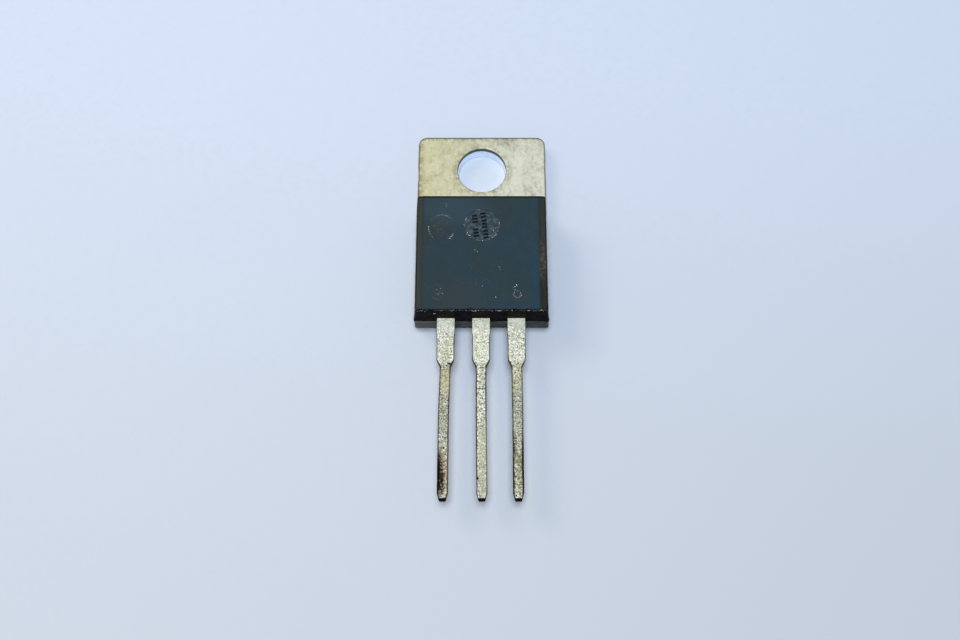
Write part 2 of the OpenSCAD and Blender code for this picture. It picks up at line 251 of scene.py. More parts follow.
def mouldingFinish(look):
    # filled epoxy: slate satin where the mould was spark-eroded, darker and glossier down the
    # sides, with olive margins down the face's left and right
    f = Finish("mouldedEpoxy", look, Specular_IOR_Level=look["specular"])
    grain = f.cloud(13, 3, 0.7)
    fine = f.cloud(36, 2, 0.6)
    pin = f.disc(0, look["pinY"], look["pinR"], look["pinR"], 0.03) * f.z.ramp(*look["pinZ"])
    face = f.z.ramp(look["topZ"] - 0.1, look["topZ"] - 0.03).most(pin)
    dull = f.cloud(1.3, 3, 0.6, shift=(2, 5, 1)).ramp(0.42, 0.75)
    tint = f.coats("slateLeft", ((f.x - f.y * 0.4).ramp(-2, 8), "slateRight"),
                   (f.cloud(0.25, 2, 0.5).ramp(0.35, 0.65) * 0.75, "slateGreen"),
                   (dull * 0.5, "slateDull"))
    # painted sheen: wide soft lighter patches laid over the face
    for x, y, radiusX, radiusY, tone, strength in look["paintedSheens"]:
        tint = f.mix(f.disc(x, y, radiusX, radiusY, 0.6) * strength, tint, tone)
    fromSide = (f.x - look["left"]).least(look["right"] - f.x)
    waver = (f.cloud(1.5, 4, 0.6, shift=(0, 9, 0)) - 0.5) * 0.25
    edge = fromSide + waver
    darkRight = f.x.ramp(3.95, 4.2) * ((f.y + waver * 4.0).ramp(-9.4, -10.8) * 0.4 + 0.4)
    # painted shade: a dark line along the face's side and top edges
    rim = fromSide.ramp(0.1, 0.03).most((look["top"] - f.y).ramp(0.2, 0.1))
    tint = f.coats(tint, (edge.ramp(0.72, 0.12) * 0.95, "margin"),
                   ((edge - 0.42).size().ramp(0.14, 0.0) * 0.5, "groove"),
                   (darkRight, "marginLow"), (rim * 0.9, "rim"))
    for x, y, radiusX, radiusY, tone, scale, shift in look["streaks"]:
        streak = f.broken(f.disc(x, y, radiusX, radiusY, 0.6), scale, shift, 0.46, 0.6)
        tint = f.mix(streak * 0.8, tint, tone)
    for x, y, radius, low, high, tone, strength in look["arcs"]:
        across, up = f.x - x, f.y - y
        far = (across * across + up * up) ** 0.5
        middle, half = radians(low + high) / 2, radians(high - low) / 2
        inArc = (across * cos(middle) + up * sin(middle)) / radius
        arc = (far - radius).size().ramp(0.07, 0.02) * inArc.ramp(cos(half), cos(half) + 0.15)
        tint = f.mix(f.broken(arc, 4.2, (x, y, 3), 0.44, 0.58) * strength, tint, tone)
    for x, y, radius, tone, strength in look["scuffs"]:
        patch = f.broken(f.disc(x, y, radius, radius, 0.35), 4.5, (x, y, 3), 0.55, 0.66)
        tint = f.mix(patch * strength, tint, tone)
    pinTone = f.mix(f.cloud(3.4, 4, 0.7, shift=(6, 0, 2)).ramp(0.4, 0.7), "pinDark", "pinPale")
    tint = f.mix(pin * 0.6, tint, pinTone)
    side = f.mix(f.cloud(1.5, 4, 0.7).ramp(0.42, 0.7), "sideDark", "sideBrown")
    onEnd = f.y.ramp(*look["end"])
    gaps = f.cloud(1.9, 4, 0.75, shift=(3, 0, 3)).ramp(0.45, 0.6)
    # chips, and painted highlight: a broken pale line just under the front edge, where its rounding
    # catches the light
    chipsAndEdgeHighlight = (f.z - look["chipZ"]).size().ramp(0.11, 0.03) * gaps
    side = f.mix(chipsAndEdgeHighlight * onEnd * 0.85, side, "chipsAndEdgeHighlight")
    # painted reflection: reddish-brown arches over each lead exit on the end face, the leads
    # mirrored in it
    for x in look["exits"]:
        far = (((f.x - x) / 0.7) ** 2 + ((f.z - look["exitZ"]) / 0.75) ** 2) ** 0.5
        leadReflection = (far - 1.0).size().ramp(0.5, 0.1)
        leadReflection = leadReflection * f.cloud(3.3, 4, 0.7, shift=(x, 2, 8)).ramp(0.44, 0.62)
        side = f.mix(leadReflection * onEnd * f.z.ramp(2.7, 2.9) * 0.7, side, "leadReflectionTone")
    streak = f.cloud(1.2, 4, 0.6, stretch=(0.5, 1, 4), shift=(0, 0, 7)).ramp(0.4, 0.66)
    score = (f.z - look["scoreZ"]).size().ramp(0.14, 0.04)
    sooty = f.x.ramp(2.9, 3.4) * f.z.ramp(1.6, 1.8)
    # painted highlight: a broken pale line along the ledge at the top of the lip
    ledge = (f.z - look["ledgeZ"]).size().ramp(0.1, 0.04) * gaps
    lip = f.coats("lip", (streak.most(f.x.ramp(-2.9, -3.7) * 0.9), "lipPale"),
                  (score * 0.8, "sideDark"), (sooty * 0.8, "sideDark"), (ledge * 0.8, "ledge"))
    side = f.mix(f.z.ramp(*look["lipZ"]) * onEnd, side, lip)
    tint = f.mix(face, side, tint)
    specks = f.spots(3.1, 0.05, 0.05, (4, 1, 2))
    specks = specks * f.cloud(0.8, 1, 0.5, shift=(3, 3, 0)).ramp(0.5, 0.6)
    f.set("Base Color", f.mix(specks * 0.6, tint, "speck"))
    f.set("Roughness", face * (look["faceRough"] - look["sideRough"]) + grain * 0.15
          + look["sideRough"])
    f.bump(grain * 0.6 + fine * 0.4, look["grainDepth"], 0.6)
    return f.material


tabLook = {
    "rough": 0.38, "bump": 0.014, "farY": 2.875, "halfW": 4.95, "cornerR": 0.68,
    "pale": (192, 192, 168), "dull": (170, 170, 144), "yellow": (188, 184, 144),
    "cool": (200, 201, 188), "smudge": (116, 110, 84), "brown": (112, 84, 58),
    "wallDark": (92, 92, 84), "wallPale": (238, 244, 250),
    "rim": (58, 60, 40), "strip": (222, 223, 204),
}


def tabFinish(look):
    # dull tin plate, fingered and slightly tarnished
    f = Finish("tinnedTab", look, Specular_IOR_Level=0.4)
    wide = f.cloud(0.7, 4, 0.6)
    fine = f.cloud(9, 4, 0.7)
    grit = f.cloud(4.4, 4, 0.75, shift=(2, 2, 2))
    smear = f.cloud(1.5, 4, 0.65, stretch=(2.4, 0.7, 1), shift=(0, 4, 0))
    blotch = f.cloud(1.1, 4, 0.65, stretch=(1.5, 0.8, 1), shift=(3, 7, 1)).ramp(0.48, 0.7)
    cool = f.cloud(2.7, 4, 0.7, shift=(8, 2, 5)).ramp(0.54, 0.7)
    edge = look["halfW"] - f.x.size()
    leftEdge = (f.x + look["halfW"]).ramp(0.8, 0.0)
    leftEdge = leftEdge * f.cloud(1.9, 3, 0.6, shift=(1, 2, 5)).ramp(0.38, 0.58)
    corner = f.disc(1.9, 2.5, 0.6, 0.35, 0.7)
    corner = corner * f.cloud(2.2, 3, 0.6, shift=(0, 0, 9)).ramp(0.35, 0.65)
    ring = (f.x * f.x + f.y * f.y) ** 0.5
    washer = ring.ramp(2.5, 1.95) * f.cloud(3, 3, 0.6, shift=(8, 1, 0)).ramp(0.4, 0.62)
    # painted shade: a dark line along the outer edges where they roll over, thicker round the
    # corners
    farEdge = look["farY"] - f.y
    cornerR = look["cornerR"]
    curve = ((cornerR - edge).most(0.0) ** 2 + (cornerR - farEdge).most(0.0) ** 2) ** 0.5
    border = cornerR - curve
    rim = border.ramp(0.16, 0.07) * (farEdge.ramp(0.5, 0.2) * 0.35 + 0.6)
    dirty = border.ramp(0.5, 0.1) * f.cloud(2.6, 3, 0.7, shift=(2, 0, 7)).ramp(0.42, 0.6)
    inHole = ring.ramp(1.98, 1.93)
    pale = f.z.ramp(0.98, 0.78) * inHole
    wall = f.mix(pale, "wallDark", "wallPale")
    f.set("Base Color", f.coats(
        "dull", (wide.ramp(0.36, 0.66), "pale"), ((f.x * 0.2 + smear).ramp(0.2, 1.0) * 0.6, "cool"),
        ((smear - f.x * 0.05).ramp(0.48, 0.72) * 0.7, "yellow"), (blotch * 0.4, "smudge"),
        (cool * 0.6, "cool"), (grit.ramp(0.48, 0.7) * 0.34, "smudge"),
        # painted highlight: a lighter strip on the tab just above the moulding
        (fine.ramp(0.55, 0.8) * 0.28, "smudge"), (f.y.ramp(-2.95, -3.3) * 0.6, "strip"),
        (leftEdge * 0.6, "brown"), (corner * 0.5, "smudge"), (washer * 0.5, "smudge"),
        (dirty * farEdge.ramp(1.2, 0.4) * 0.6, "smudge"), (rim, "rim"),
        (inHole * f.z.ramp(1.28, 1.22), wall)))
    f.set("Metallic", pale * 0.3 + 0.7)
    f.set("Roughness", fine * 0.16 + wide * 0.14 + smear * 0.1 + look["rough"] - pale * 0.3)
    f.bump(fine * 0.5 + f.cloud(24, 3, 0.7) * 0.35 - blotch * 0.3, look["bump"], 0.7)
    return f.material



leadLook = {
    "metallic": 0.65, "rough": 0.38, "bump": 0.02, "exitY": -12.8, "tipY": -25.8, "sootBelow": 50,
    "tip": (8, 8, 6),
    "pale": (194, 196, 184), "green": (180, 183, 160), "pit": (98, 94, 76),
    "pitDark": (26, 24, 17), "flankShade": (44, 42, 32), "paintedGlint": (226, 227, 216),
    # x, y, radius x, radius y, colour, strength, from and to on the cloud that breaks it up
    "stains": [(-2.6, -20.0, 0.5, 3.4, (100, 98, 82), 0.6, 0.4, 0.6),
               (-2.7, -23.9, 0.5, 1.5, (112, 92, 56), 0.75, 0.4, 0.56),
               (-2.88, -24.1, 0.26, 1.5, (34, 22, 9), 0.95, 0.36, 0.5),
               (-3.04, -24.0, 0.17, 1.7, (10, 7, 3), 1.0, 0.1, 0.3),
               (-2.72, -24.6, 0.16, 0.8, (24, 15, 6), 0.9, 0.44, 0.52),
               (2.5, -22.95, 0.35, 0.4, (84, 84, 36), 0.85, 0.36, 0.52),
               (2.6, -24.0, 0.3, 1.3, (104, 98, 52), 0.75, 0.42, 0.56),
               (2.25, -21.9, 0.2, 0.9, (46, 46, 34), 0.8, 0.44, 0.56),
               (2.3, -21.3, 0.5, 1.4, (120, 118, 100), 0.6, 0.4, 0.6),
               (0.1, -22.7, 0.35, 2.6, (136, 137, 112), 0.6, 0.2, 0.5),
               (-0.1, -24.9, 0.35, 0.8, (120, 120, 104), 0.6, 0.3, 0.55),
               (-2.55, -17.5, 0.45, 0.95, (158, 150, 88), 0.6, 0.38, 0.58),
               (2.5, -17.4, 0.5, 1.2, (152, 154, 100), 0.55, 0.4, 0.6),
               (-2.45, -15.0, 0.25, 0.9, (134, 134, 82), 0.5, 0.4, 0.6),
               (2.5, -19.2, 0.5, 1.6, (112, 112, 98), 0.6, 0.38, 0.6),
               (-2.35, -16.15, 0.12, 0.08, (20, 20, 16), 1.0, 0.2, 0.3),
               (-2.52, -16.3, 0.07, 0.06, (30, 28, 22), 0.9, 0.2, 0.3),
               (-2.65, -22.2, 0.07, 0.06, (22, 22, 18), 1.0, 0.2, 0.3),
               (-0.33, -24.3, 0.1, 0.1, (16, 16, 14), 1.0, 0.2, 0.3),
               (2.16, -22.3, 0.1, 1.2, (18, 18, 12), 0.9, 0.4, 0.5),
               (2.16, -24.4, 0.1, 0.9, (18, 18, 12), 0.9, 0.4, 0.5),
               (2.83, -23.4, 0.13, 2.6, (12, 12, 8), 1.0, 0.2, 0.34)],
    # x, y, half width, strength: dark scores across a lead
    "scores": [(-0.05, -17.98, 0.4, 1.0), (-0.02, -23.95, 0.36, 0.25)],
}


def leadFinish(look):
    # the leads' tin is pale and thickly pitted, smooth only next to the moulding
    f = Finish("tinnedLead", look, Specular_IOR_Level=0.4)
    along = look["exitY"] - f.y
    outer = f.x.size().ramp(0.8, 1.4)
    worn = along.ramp(-0.4, 1.4) * (outer * 0.25 + 0.55)
    slim = along.ramp(3.0, 3.6)
    fine = f.cloud(11, 4, 0.75)
    pits = f.cloud(6.5, 4, 0.85, shift=(0, 3, 0)).ramp(0.47, 0.6)
    pocks = f.cloud(8.0, 2, 0.6, shift=(7, 1, 3)).ramp(0.54, 0.63)
    blots = f.spots(4.4, 0.15, 0.12, (1, 5, 0))
    blots = blots * f.cloud(2.2, 2, 0.5, shift=(5, 5, 5)).ramp(0.42, 0.55)
    # painted glints: bright specks scattered over the tin
    paintedGlint = f.cloud(9.5, 3, 0.7, shift=(4, 9, 4)).ramp(0.55, 0.66)
    section = f.add("ShaderNodeAttribute", {"attribute_name": "section"}, (), "Vector")
    across = f.cut(section)[0].size()
    # painted shade: a dark line along each lead's edges, broken up a little and wider down the slim
    # part
    shadeBreak = f.cloud(2.4, 3, 0.7, shift=(9, 0, 4)).ramp(0.3, 0.55)
    reach = slim * 0.14 + along.ramp(0.8, 1.8) * 0.06
    flankShade = (across + reach).ramp(0.93, 1.0) * (shadeBreak * 0.3 + 0.7)
    tint = f.coats(
        "pale", (f.cloud(2.1, 3, 0.6, shift=(2, 0, 6)).ramp(0.35, 0.65), "green"),
        (slim * (outer * 0.14 + 0.24), "pit"), (pits * (worn * 0.2 + slim * 0.2 + 0.25), "pit"),
        (fine.ramp(0.54, 0.68) * (worn * 0.3 + slim * 0.2 + 0.25), "pit"),
        (pocks * (worn * 0.45 + slim * 0.35 + 0.2), "pitDark"),
        (blots * (worn * 0.4 + slim * 0.3 + 0.2), "pitDark"), (paintedGlint * 0.65, "paintedGlint"),
        # painted highlight: a bright line just inside each edge of the broad part
        (across.ramp(0.86, 0.94) * (1.0 - slim) * 0.7, "paintedGlint"), (flankShade, "flankShade"))
    # the painted edge shade on the slim part and the darkest stains turn more metallic
    darkStainsAndFlankShade = flankShade * slim * 0.6
    for x, y, radiusX, radiusY, tone, strength, low, high in look["stains"]:
        sooty = max(tone) < look["sootBelow"]
        stain = f.disc(x, y, radiusX, radiusY, 0.5)
        stain = f.broken(stain, 7.5 if sooty else 3.6, (x, y, 1), low, high)
        tint = f.mix(stain * strength, tint, tone)
        if sooty:
            darkStainsAndFlankShade = darkStainsAndFlankShade.most(stain)
    for x, y, halfW, strength in look["scores"]:
        score = f.disc(x, y, halfW, 0.05, 0.5) * f.cloud(9, 2, 0.6, shift=(4, 4, 0)).ramp(0.42, 0.5)
        tint = f.mix(score * strength, tint, "pitDark")
    tip = f.y.ramp(look["tipY"] + 0.24, look["tipY"] + 0.13)
    f.set("Base Color", f.mix(tip, tint, "tip"))
    f.set("Metallic", darkStainsAndFlankShade.most(tip) * 0.35 + look["metallic"])
    f.set("Roughness", fine * 0.2 + pits * worn * 0.2 + look["rough"])
    height = fine * 0.5 + f.cloud(26, 3, 0.7) * 0.3 - pocks * worn * 0.6 - blots * 0.5
    f.bump(height, look["bump"], 0.8)
    return f.material


def siliconFinish(look):
    # top metal over a sawn edge
    f = Finish("sawnSilicon", look, Metallic=look["metallic"])
    saw = f.cloud(6, 3, 0.5, stretch=(1, 1, 14))
    metal = f.z.ramp(look["metalZ"] - 0.025, look["metalZ"] - 0.015)
    f.set("Base Color", f.coats("bareDark", (saw.ramp(0.3, 0.7), "barePale"), (metal, "metal")))
    f.set("Roughness", saw * 0.2 + metal * 0.15 + 0.15)
    f.bump(saw, 0.003, 0.5)
    return f.material


def drawnFinish(name, tone, rough, scale, stretch=(1, 1, 1)):
    f = Finish(name, Metallic=1.0)
    streak = f.cloud(scale, 4, 0.6, stretch=stretch)
    pale = f.tone(tone)
    f.set("Base Color", Board.mix(f, streak.ramp(0.3, 0.7) * 0.5, pale,
                                  tuple(0.6 * value for value in pale)))
    f.set("Roughness", streak * 0.25 + rough)
    f.bump(streak, 0.004, 0.5)
    return f.material


def barFinish(dark, pale):
    # the mark's raised bars, polished by the mould
    f = Finish("polishedEpoxy", Specular_IOR_Level=0.06)
    cloud = f.cloud(9, 3, 0.6)
    f.set("Base Color", f.mix(cloud.ramp(0.3, 0.7), dark, pale))
    f.set("Roughness", cloud * 0.2 + 0.2)
    f.bump(cloud, 0.006, 0.5)
    return f.material


def flakeFinish(pale, dark):
    # chipped resin shows its pale filler; the flakes also stand for glints, as painted highlights
    f = Finish("chippedResin", Specular_IOR_Level=0.5)
    cloud = f.cloud(5, 3, 0.7)
    f.set("Base Color", f.mix(cloud.ramp(0.47, 0.64), pale, dark))
    f.set("Roughness", cloud * 0.3 + 0.3)
    f.bump(f.cloud(30, 2, 0.6), 0.01, 0.6)
    return f.material


epoxyMaterial = mouldingFinish(epoxyLook)
tabMaterial = tabFinish(tabLook)
leadMaterial = leadFinish(leadLook)
siliconMaterial = siliconFinish({
    "metallic": 0.85, "metalZ": 1.63, "bareDark": (60, 62, 72),
    "barePale": (110, 112, 126), "metal": (214, 214, 216)})
solderMaterial = drawnFinish("dieSolder", (158, 158, 162), 0.3, 5)
barMaterial = barFinish((4, 5, 5), (15, 18, 19))
flakeMaterial = flakeFinish((232, 234, 232), (128, 120, 108))
wireMaterial = drawnFinish("aluminiumWire", (222, 224, 226), 0.2, 6, (1, 1, 8))
print("materials made")


# mesh helpers

sharpAbove = radians(40)                              # a steeper fold keeps a hard edge


def placed(name, data):
    thing = bpy.data.objects.new(name, data)
    bpy.context.scene.collection.objects.link(thing)
    return thing


def meshObject(name, points, faces, materials):
    mesh = bpy.data.meshes.new(name)
    mesh.from_pydata([Vector(p) * mm for p in points], [], faces)
    return finishMesh(name, mesh, materials)


def finishMesh(name, mesh, materials):
    bm = bmesh.new()
    bm.from_mesh(mesh)
    bmesh.ops.remove_doubles(bm, verts=bm.verts, dist=2e-7)
    bmesh.ops.dissolve_degenerate(bm, edges=bm.edges, dist=1e-7)
    bmesh.ops.recalc_face_normals(bm, faces=bm.faces)
    openEdges = sum(1 for e in bm.edges if len(e.link_faces) != 2)
    print(name, "faces", len(bm.faces), "open or doubled edges", openEdges)
    bm.to_mesh(mesh)
    bm.free()
    mesh.materials.clear()
    for material in materials:
        mesh.materials.append(material)
    mesh.shade_smooth()
    mesh.set_sharp_from_angle(angle=sharpAbove)
    return placed(name, mesh)


def bridge(rings, first=0):
    # quads between rings that have equally many points
    count = len(rings[0])
    faces = []
    for i in range(len(rings) - 1):
        a, b = first + i * count, first + (i + 1) * count
        faces += [(a + k, a + (k + 1) % count, b + (k + 1) % count, b + k) for k in range(count)]
    return faces


def evenly(low, high, count):
    return [low + (high - low) * k / count for k in range(count + 1)]


def quarter(radius, count):
    # what is left of the radius, and what is used up, on the way round a rounded edge
    turns = [k / count * pi / 2 for k in range(count + 1)]
    return [(radius * (1 - sin(turn)), radius * (1 - cos(turn))) for turn in turns]


def outline(corners, runs, steps=8):
    # a closed loop of rounded corners (x, y, radius), each straight run between two of them
    # divided into as many parts as runs says, so that loops made alike match point for point
    loop = []
    for i, (x, y, radius) in enumerate(corners):
        here = Vector((x, y))
        before = Vector(corners[i - 1][:2])
        afterX, afterY, afterR = corners[(i + 1) % len(corners)]
        after = Vector((afterX, afterY))
        inward, outward = (here - before).normalized(), (after - here).normalized()
        for k in range(steps + 1):
            turn = k / steps * pi / 2
            loop.append(here - inward * radius * (1 - sin(turn))
                        + outward * radius * (1 - cos(turn)))
        start, end = here + outward * radius, after - outward * afterR
        loop += [start.lerp(end, k / runs[i]) for k in range(1, runs[i])]
    return loop


def shrunk(loop, inset):
    # moves every point of an anticlockwise loop inwards
    out = []
    for i, p in enumerate(loop):
        back, ahead = i - 1, (i + 1) % len(loop)
        while (loop[back] - p).length < 1e-4:
            back -= 1
        while (loop[ahead] - p).length < 1e-4:
            ahead = (ahead + 1) % len(loop)
        tangent = (loop[ahead] - p).normalized() + (p - loop[back]).normalized()
        tangent.normalize()
        out.append(p + Vector((-tangent.y, tangent.x)) * inset)
    return out


def flat(loop, z):
    return [(p.x, p.y, z) for p in loop]


def ripple(x, y, z, scale, seed):
    return noise.noise(Vector((x * scale + seed, y * scale - seed, z * scale + 2 * seed)))


def pieceDone(piece, slot, *nodes):
    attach(piece, "root")
    if nodes:
        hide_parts(*nodes)


# moulded body

body = {
    "left": -4.915, "right": 4.83, "footLeft": -5.03, "footRight": 5.0,
    "topY": -3.61, "endY": -12.8, "t": 4.5, "partingZ": 2.4, "backZ": 0.03,
    "frontDraft": 5, "backDraft": 8, "cornerR": 0.14,
    "ledge": 0.05, "frontEdge": 0.07, "backEdge": 0.05, "flash": 0.018, "flare": 0.06,
    "pinR": 1.25, "pinDepth": 0.06, "pinY": -6.13, "pinLip": 0.03,
    "chipDepth": 0.07, "chipReach": 0.22, "sideRun": 84, "endRun": 160,
    "faceRings": 46, "faceGather": 0.85, "faceWave": 0.004, "floorRings": 14, "floorWave": 0.014,
}
body["frontLean"] = (body["t"] - body["partingZ"]) * tan(radians(body["frontDraft"]))


def bodyLoop(side, end, foot=0.0):
    # up the right side, back along the top, down the left and along the lead end; foot says how
    # far the sides have come down to the wider foot
    b = body
    left = b["left"] + (b["footLeft"] - b["left"]) * foot + side
    right = b["right"] + (b["footRight"] - b["right"]) * foot - side
    top, low, r = b["topY"] - end, b["endY"] + end, b["cornerR"]
    sideRun, endRun = b["sideRun"], b["endRun"]
    return outline([(right, low, r), (right, top, r), (left, top, r), (left, low, r)],
                   [sideRun, sideRun, sideRun, endRun])


def lowerLoop(z, inset=0.0):
    # the half under the parting line stands out in a ledge at its ends, then draws in
    b = body
    down = (b["partingZ"] - z) / (b["partingZ"] - b["backZ"])
    end = (b["partingZ"] - z) * tan(radians(b["backDraft"])) - b["ledge"]
    return bodyLoop(inset, end + inset, down)


def worn(p):
    # nibbles the front face's lower edge, rubs its corners and swells the ones at the parting line
    x, y, z = p
    b = body
    low = b["endY"] + b["frontLean"]
    near = hypot(y - low, z - b["t"])
    if near < b["chipReach"]:
        bite = max(0.0, ripple(x, 0, 0, 2.3, 3.7) * 0.9 + ripple(x, y, z, 7, 9.1) * 0.7 - 0.12)
        deep = b["chipDepth"] * bite * (1 - near / b["chipReach"])
        y, z = y + deep * 1.2, z - deep
    lean = b["frontLean"]
    corner = min(hypot(x - side, y - end) for side in (b["left"] + lean, b["right"] - lean)
                 for end in (low, b["topY"] - lean))
    if corner < 0.5 and z > b["t"] - 0.3:
        z -= 0.05 * (1 - corner / 0.5) ** 2
    swell = max(0.0, 1 - abs(z - b["partingZ"]) / 0.4) * max(0.0, 1 - (y - b["endY"]) / 0.6)
    x *= 1 + b["flare"] * swell / 5
    if y < low and b["backZ"] + 0.1 < z < b["t"] - 0.15:
        y += 0.012 * ripple(x, 0, z, 1.6, 2.9) + 0.006 * ripple(x, 0, z, 5, 1.1)
    return x, y, z


def makeBody():
    b = body
    backZ, partingZ, topZ, wave = b["backZ"], b["partingZ"], b["t"], b["faceWave"]
    rings = [flat(lowerLoop(backZ, b["backEdge"] + inset), backZ) for inset in (1.2, 0.5, 0.2)]
    for inset, rise in quarter(b["backEdge"], 4):     # rounded back edge
        rings.append(flat(lowerLoop(backZ, inset), backZ + rise))
    shoulder = partingZ - 0.05
    rings += [flat(lowerLoop(z), z) for z in evenly(backZ + b["backEdge"], shoulder, 14)[1:]]
    rings.append(flat(lowerLoop(shoulder, 0.012), shoulder + 0.012))
    loop = bodyLoop(0.003, 0.003)
    for dz, out in ((-0.012, 0.0), (0.0, 1.0), (0.02, 1.0), (0.032, 0.0)):     # witness line
        rings.append(flat([p + (p - q).normalized() * b["flash"] * out * 0.5 *
                           (1 + ripple(p.x, p.y, 0, 1.7, 5.5))
                           for p, q in zip(loop, shrunk(loop, 0.1))], partingZ + dz))
    for z in evenly(partingZ + 0.05, topZ - b["frontEdge"], 16):
        lean = (z - partingZ) * tan(radians(b["frontDraft"]))
        rings.append(flat(bodyLoop(lean, lean), z))
    for drop, inset in quarter(b["frontEdge"], 5)[1:]:                         # rounded front edge
        lean = b["frontLean"] + inset
        rings.append(flat(bodyLoop(lean, lean), topZ - drop))
    # the front face closes in on the ejector pin's mark
    outer = [Vector(p[:2]) for p in rings[-1]]
    pin = Vector((0, b["pinY"]))
    aims = [(p - pin).normalized() for p in outer]
    rimR, steps = b["pinR"] + b["pinLip"], b["faceRings"]
    for k in range(1, steps + 1):
        share = (k / steps) ** b["faceGather"]
        loop = [p.lerp(pin + aim * rimR, share) for p, aim in zip(outer, aims)]
        calm = min(1, 4 * share) * min(1, 4 * (1 - share))
        rings.append([(p.x, p.y, topZ - wave + wave * ripple(p.x, p.y, 0, 0.9, 1.3) * calm)
                      for p in loop])
    for left, used in quarter(b["pinLip"], 5)[1:]:    # rolled lip
        rings.append([(*(pin + aim * (b["pinR"] + left)), topZ - wave - used) for aim in aims])
    floorZ, steps = topZ - b["pinDepth"], b["floorRings"]
    rings.append([(*(pin + aim * (b["pinR"] - 0.01)), floorZ + 0.012) for aim in aims])
    for k in range(steps):
        radius, calm = (b["pinR"] - 0.03) * (1 - k / steps), min(1, k / 3)
        rings.append([(p.x, p.y, floorZ + b["floorWave"] * ripple(p.x, p.y, 0, 2.6, 7.7) * calm)
                      for p in (pin + aim * radius for aim in aims)])
    rings = [[worn(p) for p in ring] for ring in rings]
    points = [p for ring in rings for p in ring]
    faces = bridge(rings)
    count = len(rings[0])
    for first, pole in ((0, (0, (b["topY"] + b["endY"]) / 2, backZ)),
                        (len(points) - count, (0, b["pinY"], floorZ))):
        points.append(pole)
        faces += [(first + k, first + (k + 1) % count, len(points) - 1) for k in range(count)]
    return meshObject("mouldedBody", points, faces, [epoxyMaterial])



mouldedBody = makeBody()

# geometry node groups

def newGroup(name, result, inputs):
    # a group with its inputs given as (name, kind, value), and what they carry
    tree = bpy.data.node_groups.new(name, "GeometryNodeTree")
    for label, kind, value in inputs:
        socket = tree.interface.new_socket(label, in_out="INPUT", socket_type="NodeSocket" + kind)
        if value is not None:
            socket.default_value = value
    tree.interface.new_socket(result, in_out="OUTPUT", socket_type="NodeSocketGeometry")
    g = Board(tree)
    return g, g.add("NodeGroupInput")


def closeGroup(g, made, material):
    # from millimetres to metres, made real and given its material
    made = g.add("GeometryNodeTransform", None, {"Geometry": made, "Scale": (mm, mm, mm)})
    made = g.add("GeometryNodeRealizeInstances", None, [made])
    made = g.add("GeometryNodeSetMaterial", None, {"Geometry": made, "Material": material})
    g.add("NodeGroupOutput", None, {0: made})
    return g.tree


# stamped lead, as a rule along a path

stationVectors = ("middle", "across", "upward")
stationSizes = ("halfW", "halfT")


